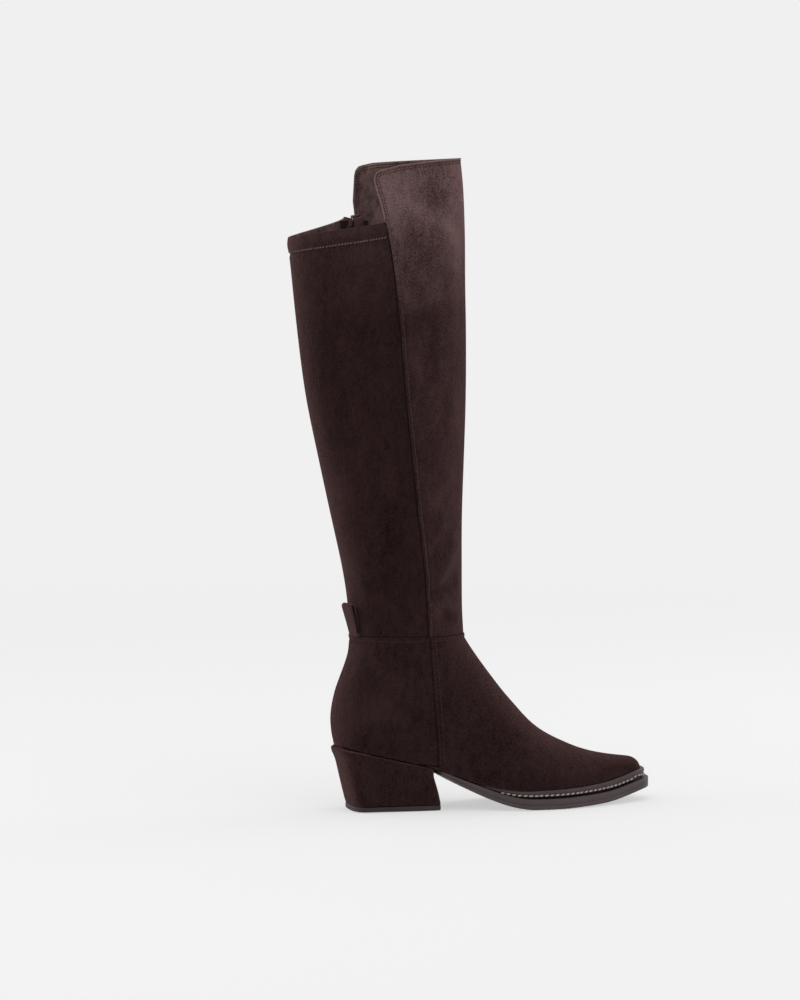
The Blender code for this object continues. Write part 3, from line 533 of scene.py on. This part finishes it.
# Places where the nap is brushed up (above 0) or down, seen from the lateral side, in millimetres. Some of
# them are painted light: painted highlights along panel edges and on the heel's back corner, and painted
# shade below the flap
napAndLightColumns = ("x", "z", "halfLength", "halfHeight", "turn", "amount")
napAndLightPatches = {
    "front": [
        (-12, 526, 12, 14, 0, 0.12), (-9, 507, 13, 18, 0, 0.15), (5, 526, 14, 12, 0, 0.06),
        (26, 513, 14, 16, 0, -0.22), (41, 523, 7, 12, 0, 0.02), (12, 503, 14, 5, -25, 0.22),
        (34, 492, 13, 6, -40, 0.28), (45, 475, 8, 12, 0, 0.10), (10, 480, 20, 13, 0, -0.30),
        (15, 462, 20, 15, 0, -0.22), (49, 452, 6, 26, 0, 0.30), (3, 421, 7, 9, 0, 0.24),
        (0, 434, 5, 8, 0, 0.18), (8, 377, 6, 14, 10, 0.26), (18, 383, 8, 14, 0, -0.14),
        (50, 341, 5, 18, 0, 0.32), (50, 403, 5, 24, 0, 0.34), (37, 312, 6, 20, -15, 0.18),
        (26, 261, 11, 6, 50, 0.22), (-14, 505, 6, 30, 8, 0.06), (6, 485, 26, 16, -20, 0.06),
        (30, 220, 24, 60, 0, -0.08), (36, 277, 10, 6, 60, 0.16), (47, 213, 5, 14, -20, 0.26),
        (37, 198, 9, 5, 45, 0.16), (30, 173, 7, 6, 20, 0.34), (44, 164, 8, 6, 0, -0.22),
        (33, 187, 11, 5, 15, -0.24),
    ],
    "back": [
        (-50, 484, 42, 3.5, 10, 0.30), (-36, 466, 13, 6, 20, 0.22), (-47, 274, 7, 14, 20, 0.18),
        (-14, 276, 6, 18, 0, 0.16), (-54, 345, 10, 40, 12, -0.12), (-11, 242, 9, 30, 0, -0.12),
        (-22, 194, 14, 24, 0, -0.12), (-42, 432, 20, 22, 0, 0.07), (-30, 310, 8, 34, 10, 0.06),
    ],
    "loop": [(-41, 166, 30, 30, 0, 0.70)],
    "foot": [
        (-29, 82, 15, 8, 0, 0.26), (-44, 72, 8, 22, 0, 0.30), (-47, 98, 7, 18, 0, 0.20),
        (-18, 88, 12, 10, 0, 0.14), (-10, 101, 22, 5, -48, -0.16), (-16, 112, 14, 6, -48, 0.16),
        (8, 118, 12, 8, -40, 0.12), (-34, 122, 8, 12, 0, 0.12), (40, 113, 12, 16, 0, 0.10),
        (62, 84, 20, 14, -40, 0.07), (125, 33, 24, 6, -5, 0.12), (79, 28, 18, 6, 0, -0.14),
        (-31, 28, 9, 16, 0, 0.10), (26, 38, 9, 5, 0, 0.20), (28, 18, 10, 12, 0, -0.10),
        (195, 32, 22, 10, 0, -0.48), (150, 44, 24, 10, -15, -0.14), (-8, 92, 24, 20, 0, 0.16),
    ],
}
# The same places serve the medial side, moved on by so many millimetres
napAndLightShift = {"base": -0.07, "medialX": 14, "medialZ": -22}


def paintNapAndLight(piece, patches):
    points = pointsOf(piece) * 1000
    medial = points[:, 1] > 0
    x = points[:, 0] - medial * napAndLightShift["medialX"]
    z = points[:, 2] - medial * napAndLightShift["medialZ"]
    napAndLight = np.full(len(points), napAndLightShift["base"])
    for row in patches:
        patch = dict(zip(napAndLightColumns, row))
        turn = math.radians(patch["turn"])
        along = (x - patch["x"]) * math.cos(turn) + (z - patch["z"]) * math.sin(turn)
        across = (z - patch["z"]) * math.cos(turn) - (x - patch["x"]) * math.sin(turn)
        spread = (along / patch["halfLength"]) ** 2
        napAndLight += patch["amount"] * np.exp(-spread - (across / patch["halfHeight"]) ** 2)
    layer = piece.data.attributes.new("napAndLight", "FLOAT", "POINT")
    layer.data.foreach_set("value", napAndLight)


napAndLightPieces = {"foot": (upper, heel), "front": (shaftFront,), "back": (shaftBack,), "loop": (pullLoop,)}
for patchName, pieces in napAndLightPieces.items():
    for piece in pieces:
        paintNapAndLight(piece, napAndLightPatches[patchName])
print("stage: nap")


rimReading = {"outward": 0.6, "level": 0.5, "rounding": 3}


# Outer rim of a panel: the sharp edges of its CAD solid that bound its outer face, end to end
def outerRim(node, keep):
    shape = bmesh.new()
    shape.from_mesh(nodes[node].data)
    shape.transform(nodes[node].matrix_world)
    bmesh.ops.remove_doubles(shape, verts=shape.verts, dist=skinReading["merge"])
    shape.verts.ensure_lookup_table()
    beside = {}
    for edge in shape.edges:
        first, second = edge.verts
        middle = first.co + second.co
        out = Vector((middle.x, middle.y, 0)).normalized()
        outward = max(face.normal.dot(out) for face in edge.link_faces)
        sharp = edge.calc_face_angle(0) > skinReading["sharp"]
        if sharp and outward > rimReading["outward"] and keep(first.co, second.co):
            beside.setdefault(first.index, []).append(second.index)
            beside.setdefault(second.index, []).append(first.index)
    # The walk starts at the lowest end, and at a branch it goes on where most edges meet
    places = [vertex.co for vertex in shape.verts]
    ends = [index for index in beside if len(beside[index]) == 1]
    walk = [min(ends, key=lambda index: (round(places[index].z, rimReading["rounding"]), places[index].y))]
    while True:
        ahead = [index for index in beside[walk[-1]] if index not in walk[-2:]]
        if not ahead:
            break
        walk.append(max(ahead, key=lambda index: len(beside[index])))
    rim = [tuple(places[index]) for index in walk]
    shape.free()
    return rim


# A line on the rim itself, that faces away from the middle of the shaft, and more so to the sides
rimFacing = {"middle": -0.005, "sideways": 1.6}


def rimLine(rows, spacing=lineSpacing):
    points = np.array(rows)
    reach = lengthsAlong(points)
    line = []
    for at in np.linspace(0, reach[-1], int(reach[-1] / spacing)):
        point = np.array([np.interp(at, reach, points[:, k]) for k in range(3)])
        out = np.array([point[0] - rimFacing["middle"], rimFacing["sideways"] * point[1], 0.0])
        line.append((point, out / np.linalg.norm(out)))
    return line


# A whole ring round the skin at one height
def ringLine(tree, middle, z):
    points = []
    for degrees in np.linspace(-180, 180, castSettings["ringPlaces"]):
        out = outwardAt(degrees)
        place, _, _, _ = tree.ray_cast(Vector((*middle, z)) + castSettings["ringFrom"] * out, -out)
        if place:
            points.append(tuple(place))
    return snapped(tree, points)


def placesOf(node):
    return np.array([nodes[node].matrix_world @ vertex.co for vertex in nodes[node].data.vertices])


chainPoints = placesOf("zip_chain")
chainSteps = {"low": 0.0705, "high": 0.476, "places": 24, "reach": 0.014}


# Where the middle of the zip's chain is at a height
def chainMiddle(z):
    near = np.abs(chainPoints[:, 2] - z) < chainSteps["reach"]
    return chainPoints[near][:, 0].mean()


chainHeights = np.linspace(chainSteps["low"], chainSteps["high"], chainSteps["places"])
# Seams seen from the side, as height and place along the shoe
seams = {
    "footLateral": [(0.0375, 0.0326), (0.1465, 0.0228)],
    "zipFoot": [(0.0625, 0.0299), (0.1477, 0.0221)],
    "zipCross": [(0.0585, 0.0235), (0.0585, 0.0369)],
    "medial": [(z, chainMiddle(z)) for z in chainHeights],
}


def shifted(table, distance):
    return [(z, x + distance) for z, x in table]


frontTree = treeOf(shaftFront)
backTree = treeOf(shaftBack)
upperTree = treeOf(upper)
# Points toward which a row moves in from its rim
middles = {"front": (0.2, 0.0, 0.3), "back": (-0.2, 0.0, 0.3), "hem": (-0.05, 0.0, 0.1)}
heights = {"ankleTop": 0.1485, "ankleEdgeAndPaintedShade": 0.1465, "ankleRow": 0.1442, "flap": 0.4945, "collar": 0.4}
ankleMiddle = (0.015, 0)
# How far each row lies from its rim or seam
distances = {
    "footRows": (0.0021, 0.0056),
    "zipRows": (-0.0066, 0.0066),
    "freeEdge": (0.0017, 0.0036),
    "lateral": 0.0027,
    "medial": 0.0026,
    "hem": 0.0125,
    "hemGroove": 0.0140,
    "hemRoll": 0.006,
    "lateralRidge": 0.0012,
    "freeRidge": 0.0008,
    "overZip": 0.0078,
}
# Width and depth of each trough. A ridge has a depth below 0
troughs = {
    "lateralRidge": (0.0022, -0.00045),
    "freeRidge": (0.0018, -0.00025),
    "shaftRow": (0.0014, 0.00028),
    "hemGroove": (0.0028, 0.0009),
    "hemRoll": (0.0074, -0.0008),
    "ankleRidge": (0.0036, -0.0008),
    "ankleRow": (0.0022, 0.0005),
    "footRow": (0.0022, 0.0004),
    "footSeam": (0.0022, 0.0006),
    "backSeam": (0.0018, 0.0005),
}


def overAnkle(first, second):
    return max(first.z, second.z) > heights["ankleTop"]


def levelAtCollar(first, second):
    rise = abs(first.z - second.z)
    return first.z > heights["collar"] and rise < rimReading["level"] * (first - second).length


frontRim = rimLine(outerRim("shaft_front", overAnkle))
free = [row for row in frontRim if row[0][2] > heights["flap"]]
sewn = [row for row in frontRim if row[0][2] <= heights["flap"]]
lateral = [row for row in sewn if row[0][1] < 0]
medial = [row for row in sewn if row[0][1] > 0]
collar = rimLine(outerRim("shaft_back", levelAtCollar)[::-1])
overZip = np.array([-distances["overZip"], 0, 0])
backMedial = [(place + overZip, out) for place, out in medial]
ankle = ringLine(upperTree, ankleMiddle, heights["ankleEdgeAndPaintedShade"])
footSeam = sideLine(upperTree, seams["footLateral"], -1)
footRows = [sideLine(upperTree, shifted(seams["footLateral"], d), -1) for d in distances["footRows"]]
zipRows = [sideLine(upperTree, shifted(seams["zipFoot"], d), 1) for d in distances["zipRows"]]
zipCross = sideLine(upperTree, seams["zipCross"], 1)


# The row under the ankle stops on both sides of the zip
zipAtAnkle = {"medialFrom": 0.02, "middle": 0.0222, "halfWidth": 0.006}


def beforeZip(place):
    apart = abs(place[0] - zipAtAnkle["middle"])
    return not (place[1] > zipAtAnkle["medialFrom"] and apart < zipAtAnkle["halfWidth"])


ankleRow = [row for row in ringLine(upperTree, ankleMiddle, heights["ankleRow"]) if beforeZip(row[0])]

seamRows = {
    "freeEdge": [insetLine(frontTree, free, d, middles["front"]) for d in distances["freeEdge"]],
    "lateral": [insetLine(frontTree, lateral, distances["lateral"], middles["front"])],
    "medialFront": [insetLine(frontTree, medial, distances["medial"], middles["front"])],
    "medialBack": [insetLine(backTree, backMedial, distances["medial"], middles["back"])],
}
hemRow = insetLine(backTree, collar, distances["hem"], middles["hem"])
hemGroove = insetLine(backTree, collar, distances["hemGroove"], middles["hem"])
hemRoll = insetLine(backTree, collar, distances["hemRoll"], middles["hem"])
lateralRidge = insetLine(frontTree, lateral, distances["lateralRidge"], middles["front"])
freeRidge = insetLine(frontTree, free, distances["freeRidge"], middles["front"])

# Raised edges and the troughs that the stitches draw into the suede
press(shaftFront, lateralRidge, *troughs["lateralRidge"])
press(shaftFront, freeRidge, *troughs["freeRidge"])
for rows in (seamRows["freeEdge"], seamRows["lateral"], seamRows["medialFront"]):
    for line in rows:
        press(shaftFront, line, *troughs["shaftRow"])
press(shaftBack, seamRows["medialBack"][0], *troughs["shaftRow"])
press(shaftBack, hemGroove, *troughs["hemGroove"])
press(shaftBack, hemRoll, *troughs["hemRoll"])
press(upper, ankle, *troughs["ankleRidge"])
press(upper, ankleRow, *troughs["ankleRow"])
for line in footRows + zipRows:
    press(upper, line, *troughs["footRow"])
press(upper, footSeam, *troughs["footSeam"])
print("stage: seams")

# Main folds on one side of a piece: heights and places along the shoe, then width and depth
folds = [
    (upper, -1, [(0.123, -0.026), (0.101, -0.010), (0.075, 0.009)], 0.010, 0.0008),
    (upper, -1, [(0.113, -0.036), (0.088, -0.020), (0.070, -0.004)], 0.011, -0.0005),
    (shaftFront, -1, [(0.183, 0.024), (0.193, 0.046)], 0.009, 0.0010),
    (shaftFront, -1, [(0.170, 0.026), (0.176, 0.034), (0.164, 0.050)], 0.009, -0.0009),
    (shaftFront, -1, [(0.196, 0.030), (0.222, 0.049)], 0.009, -0.0008),
    (shaftFront, -1, [(0.215, 0.026), (0.240, 0.044)], 0.011, 0.0007),
    (shaftFront, -1, [(0.256, 0.022), (0.281, 0.040)], 0.010, -0.0007),
    (shaftFront, -1, [(0.300, 0.026), (0.335, 0.037)], 0.013, 0.0006),
    (shaftFront, -1, [(0.365, 0.018), (0.400, 0.021)], 0.012, 0.0006),
    (shaftFront, -1, [(0.365, 0.008), (0.392, 0.009)], 0.008, -0.0004),
    (shaftFront, -1, [(0.500, 0.024), (0.530, 0.028)], 0.016, 0.0012),
    (shaftFront, -1, [(0.506, 0.002), (0.492, 0.034), (0.470, 0.047)], 0.012, -0.0008),
    (shaftFront, -1, [(0.484, 0.000), (0.468, 0.024), (0.440, 0.036)], 0.018, 0.0008),
    (shaftBack, -1, [(0.420, -0.055), (0.345, -0.053), (0.300, -0.045)], 0.020, 0.0008),
    (shaftBack, -1, [(0.440, -0.030), (0.340, -0.026), (0.275, -0.020)], 0.016, -0.0006),
    (shaftBack, -1, [(0.270, -0.012), (0.200, -0.006)], 0.014, 0.0006),
    (shaftBack, -1, [(0.215, -0.024), (0.165, -0.018)], 0.014, 0.0006),
    (shaftBack, -1, [(0.472, -0.040), (0.462, -0.020)], 0.008, -0.0004),
    (shaftFront, 1, [(0.188, 0.030), (0.200, 0.048)], 0.010, 0.0010),
    (shaftFront, 1, [(0.172, 0.032), (0.180, 0.048)], 0.009, -0.0008),
    (shaftFront, 1, [(0.240, 0.028), (0.262, 0.042)], 0.011, 0.0007),
    (shaftFront, 1, [(0.330, 0.022), (0.360, 0.032)], 0.013, -0.0006),
    (shaftFront, 1, [(0.430, 0.010), (0.460, 0.030)], 0.016, 0.0008),
    (shaftBack, 1, [(0.400, -0.052), (0.320, -0.048)], 0.020, 0.0008),
    (shaftBack, 1, [(0.250, -0.018), (0.190, -0.010)], 0.014, 0.0006),
    (upper, 1, [(0.118, -0.022), (0.092, -0.004), (0.074, 0.008)], 0.010, 0.0007),
    (upper, 1, [(0.100, 0.050), (0.074, 0.074)], 0.012, 0.0005),
]
foldStrength = 1.7
trees = {upper.name: upperTree, shaftFront.name: frontTree, shaftBack.name: backTree}
foldSpacing = 0.002
for piece, side, table, width, depth in folds:
    fold = sideLine(trees[piece.name], table, side, foldSpacing)
    press(piece, fold, width, foldStrength * depth, bothFaces=True)
for piece in (upper, shaftFront, shaftBack):
    trees[piece.name] = treeOf(piece)
print("stage: folds")


# The nearest line on a skin that has been pressed since
def settled(tree, line):
    hits = [tree.find_nearest(Vector(place)) for place, _ in line]
    return [(np.array(hit[0]), np.array(hit[1])) for hit in hits]


# Seam stitches of the suede
threadLook = {
    "pitch": 0.0021, "length": 0.0017, "width": 0.00055, "height": 0.0005, "rise": 0.00005,
    "finish": seamThread,
}
frontRows = seamRows["freeEdge"] + seamRows["lateral"] + seamRows["medialFront"]
frontLines = [settled(trees[shaftFront.name], line) for line in frontRows]
backLines = [settled(trees[shaftBack.name], line) for line in seamRows["medialBack"]]
footLines = [settled(trees[upper.name], line) for line in footRows + zipRows + [zipCross, ankleRow]]
sew("panelStitches", frontLines + backLines, threadLook)
sew("footStitches", footLines, {**threadLook, "finish": footThread})
# A pale cord along the free edge of the flap: the paler cut edge with a painted highlight on it
rimHighlightLook = {"radius": 0.0006, "sink": 0.3}
layCord("freeEdgeHighlight", free, rimHighlightLook["radius"], rimHighlightLook["sink"], rimEdgeHighlight)

# Painted shade of the needle holes between the stitches: small dark marks. The two rows round the free
# edge show on the inner face too
holeShadeLook = {
    "pitch": 0.0021, "length": 0.0008, "width": 0.0011, "height": 0.0005, "rise": 0.0001,
    "finish": paintedGapShade,
}
sew("panelHoleShade", [line[1:] for line in frontLines], holeShadeLook)
insideLines = [insideOf(trees[shaftFront.name], line) for line in frontLines[:2]]
sew("innerStitches", insideLines, threadLook)
sew("innerHoleShade", [line[1:] for line in insideLines], holeShadeLook)
hemLook = {
    "pitch": 0.0026, "length": 0.0022, "width": 0.0010, "height": 0.0009, "rise": 0.0002,
    "lean": 0.6, "finish": hemThread,
}
sew("hemStitches", [settled(trees[shaftBack.name], hemRow)], hemLook)
print("stage: seam stitches")

# Painted shade in the gaps: near-black cords along the side seam of the shaft, on the foot and round the
# ankle
gapShadeLook = {"radius": 0.00055, "sideSink": 0.2, "footSink": 0.3, "ankleSink": 0.5}
gapPlaces = {"behindSeam": 0.0004, "overAnkle": 0.0013, "frontFrom": 0.0225}
behindSeam = np.array([-gapPlaces["behindSeam"], 0, 0])
sideGap = settled(trees[shaftBack.name], [(place + behindSeam, out) for place, out in lateral])
layCord("sideSeamPaintedShade", sideGap, gapShadeLook["radius"], gapShadeLook["sideSink"], paintedGapShade)
footGap = settled(trees[upper.name], footSeam)
layCord("footSeamPaintedShade", footGap, gapShadeLook["radius"], gapShadeLook["footSink"], paintedGapShade)
ankleGap = []
for place, out in ankle:
    above = place + np.array([0, 0, gapPlaces["overAnkle"]])
    panel = shaftFront if above[0] > gapPlaces["frontFrom"] else shaftBack
    ankleGap += settled(trees[panel.name], [(above, out)])
layCord("ankleEdgeAndPaintedShade", ankleGap, gapShadeLook["radius"], gapShadeLook["ankleSink"], paintedGapShade, closed=True)

# A closed seam down the back of the foot
backSeamRow = {"low": 0.062, "high": 0.143, "places": 90, "from": -0.3}
backSeam = []
for z in np.linspace(backSeamRow["low"], backSeamRow["high"], backSeamRow["places"]):
    place, normal, _, _ = upperTree.ray_cast(Vector((backSeamRow["from"], 0.0, z)), Vector((1, 0, 0)))
    if place:
        backSeam.append((np.array(place), np.array(normal)))
press(upper, backSeam, *troughs["backSeam"])

# Painted shade in the gap between the heel's cover and the foot, from one end of the heel's breast to the
# other
heelEdge = {
    "middle": 0.01, "first": 35, "last": 325, "places": 120, "reach": 2.5, "innerRadius": 0.018,
    "above": 0.0004, "breast": 0.036, "radius": 0.0008, "sink": 0.2,
}
heelPoints = pointsOf(heel)
heelRadius = np.hypot(heelPoints[:, 0] - heelEdge["middle"], heelPoints[:, 1])
heelTurn = np.degrees(np.arctan2(heelPoints[:, 1], heelPoints[:, 0] - heelEdge["middle"]))
heelGap = []
for degrees in np.linspace(heelEdge["first"], heelEdge["last"], heelEdge["places"]):
    near = np.abs((heelTurn - degrees + 180) % 360 - 180) < heelEdge["reach"]
    rim = heelPoints[near & (heelRadius > heelEdge["innerRadius"])]
    if len(rim):
        out = outwardAt(degrees)
        axis = Vector((heelEdge["middle"], 0, rim[:, 2].max() + heelEdge["above"]))
        place, _, _, _ = upperTree.ray_cast(axis + castSettings["sideFrom"] * out, -out)
        if place and place.x < heelEdge["breast"]:
            heelGap.append(tuple(place))

# Painted shade in the slit between the two layers of the pull loop, on its lateral edge: a dark cord
slitLook = {
    "turn": 19, "side": 0.0064, "from": 0.10, "to": 0.86, "places": 12, "radius": 0.0012, "sink": 0.4,
}
loopEnds = {"low": 0.003, "high": 0.005}
loopPoints = pointsOf(pullLoop)
loopHeights = loopPoints[:, 2]
loopLow = loopPoints[loopHeights < loopHeights.min() + loopEnds["low"]].mean(0)
loopHigh = loopPoints[loopHeights > loopHeights.max() - loopEnds["high"]].mean(0)
slitTurn = math.radians(slitLook["turn"])
loopSide = np.array([math.sin(slitTurn), -math.cos(slitTurn), 0.0])
slit = []
for share in np.linspace(slitLook["from"], slitLook["to"], slitLook["places"]):
    slit.append((loopLow + (loopHigh - loopLow) * share + loopSide * slitLook["side"], loopSide))
layCord("loopSlitPaintedShade", slit, slitLook["radius"], slitLook["sink"], paintedGapShade)
layCord("heelGapPaintedShade", snapped(upperTree, heelGap), heelEdge["radius"], heelEdge["sink"], paintedGapShade)
print("stage: cut edges")

# Welt stitches: from the waist to the toe, at a share of the height of the welt's face
weltRow = {"first": 0.084, "last": 0.207, "places": 10, "reach": 0.006, "share": 0.36}
toeRow = {"middle": (0.205, 0.005, 0.0222), "spread": 68, "places": 24, "from": 0.1}
weltTree = treeOf(welt)
weltPoints = placesOf("welt")
weltPoints = weltPoints[weltPoints[:, 1] < 0]
weltLine = []
for x in np.linspace(weltRow["first"], weltRow["last"], weltRow["places"]):
    face = weltPoints[np.abs(weltPoints[:, 0] - x) < weltRow["reach"], 2]
    weltLine.append((face.min() + weltRow["share"] * (face.max() - face.min()), x))
toePoints = []
for degrees in np.linspace(-toeRow["spread"], toeRow["spread"], toeRow["places"]):
    out = outwardAt(degrees)
    place, _, _, _ = weltTree.ray_cast(Vector(toeRow["middle"]) + toeRow["from"] * out, -out)
    if place:
        toePoints.append(tuple(place))
around = [tuple(row[0]) for row in sideLine(weltTree, weltLine, -1)] + toePoints
around += [tuple(row[0]) for row in sideLine(weltTree, weltLine, 1)][::-1]
weltLook = {
    "pitch": 0.0047, "length": 0.0036, "width": 0.0016, "height": 0.0014, "rise": 0.0003,
    "lean": 0.18, "finish": weltThread,
}
sew("weltStitches", [snapped(weltTree, around)], weltLook)
grooveLook = {"below": 0.0019, "radius": 0.0006, "sink": 0.5}
weltGroove = snapped(weltTree, [(x, y, z - grooveLook["below"]) for x, y, z in around])
layCord("weltGrooveShade", weltGroove, grooveLook["radius"], grooveLook["sink"], paintedGapShade)
print("stage: welt stitches")

# Zip: two rows of teeth on the chain
toothBevel = 0.35
bpy.ops.mesh.primitive_cube_add(size=2.0)
tooth = bpy.context.object
bpy.ops.object.mode_set(mode="EDIT")
bpy.ops.mesh.select_all(action="SELECT")
bpy.ops.mesh.bevel(offset=toothBevel, segments=1)
bpy.ops.object.mode_set(mode="OBJECT")
toothShape = (pointsOf(tooth), [tuple(face.vertices) for face in tooth.data.polygons])
bpy.data.objects.remove(tooth)
chainFaces = [tuple(face.vertices) for face in nodes["zip_chain"].data.polygons]
chainTree = BVHTree.FromPolygons([tuple(row) for row in chainPoints], chainFaces)
teethRows = {"apart": 0.0013, "spacing": 0.00035, "offset": 2}
toothLook = {
    "pitch": 0.00150, "length": 0.00085, "width": 0.0029, "height": 0.0011, "rise": 0.0002,
    "finish": bronze,
}
chainLine = sideLine(chainTree, seams["medial"], 1, teethRows["spacing"])
teethFront = insetLine(chainTree, chainLine, teethRows["apart"], middles["front"])
teethBack = insetLine(chainTree, chainLine[teethRows["offset"]:], teethRows["apart"], middles["back"])
sew("teethFront", [teethFront], toothLook, toothShape)
sew("teethBack", [teethBack], toothLook, toothShape)


# Folded ends of the zip's tape, and the metal stop over them
blockRounding = 0.42


def roundedBlock(name, place, size, turn, finish):
    bpy.ops.object.select_all(action="DESELECT")
    bpy.ops.mesh.primitive_cube_add(size=1.0, location=place, scale=size, rotation=(0, turn, 0))
    piece = bpy.context.object
    piece.name = name
    select(piece)
    bpy.ops.object.transform_apply(location=True, rotation=True, scale=True)
    bpy.ops.object.mode_set(mode="EDIT")
    bpy.ops.mesh.select_all(action="SELECT")
    bpy.ops.mesh.bevel(offset=blockRounding * min(size), segments=3)
    bpy.ops.mesh.normals_make_consistent(inside=False)
    bpy.ops.object.mode_set(mode="OBJECT")
    piece.data.materials.append(finish)
    piece.data.shade_smooth()
    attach(piece, "boot")


zipTop = {
    "tapeEndBack": ((-0.0278, 0.0402, 0.4920), (0.0085, 0.0022, 0.0100), 0.22, suede["frontSuede"]),
    "tapeEndFront": ((-0.0180, 0.0405, 0.4925), (0.0080, 0.0022, 0.0100), -0.20, suede["frontSuede"]),
    "zipTopStop": ((-0.0205, 0.0412, 0.4980), (0.0080, 0.0020, 0.0026), -0.15, bronze),
}
for name, (place, size, turn, finish) in zipTop.items():
    roundedBlock(name, place, size, turn, finish)
print("stage: zip")


# Floor: pale and plain near the shoe, and open to the surround further off
floorSettings = {
    "size": 12.0, "height": -0.0002, "color": (0.83, 0.83, 0.83),
    "fadeFrom": 0.9, "fadeTo": 2.4, "clear": 0.60,
}
bpy.ops.mesh.primitive_plane_add(size=floorSettings["size"], location=(0, 0, floorSettings["height"]))
floor = bpy.context.object
floor.name = "paleFloor"
select(floor)
bpy.ops.object.transform_apply(location=True, rotation=True, scale=True)
floorFinish, tree, shader, place = newMaterial("paleFloorFinish")
distance = tree.nodes.new("ShaderNodeVectorMath")
distance.operation = "LENGTH"
tree.links.new(place.outputs["Object"], distance.inputs[0])
fade = addRange(tree, distance.outputs["Value"], floorSettings["fadeFrom"], floorSettings["fadeTo"],
                floorSettings["clear"], 1.0)
clear = tree.nodes.new("ShaderNodeBsdfTransparent")
blend = tree.nodes.new("ShaderNodeMixShader")
output = tree.nodes["Material Output"]
shader.inputs["Base Color"].default_value = (*floorSettings["color"], 1)
shader.inputs["Roughness"].default_value = 0.9
shader.inputs["Specular IOR Level"].default_value = 0.0
tree.links.new(fade, blend.inputs[0])
tree.links.new(shader.outputs[0], blend.inputs[1])
tree.links.new(clear.outputs[0], blend.inputs[2])
tree.links.new(blend.outputs[0], output.inputs["Surface"])
floor.data.materials.append(floorFinish)
print("stage: floor")
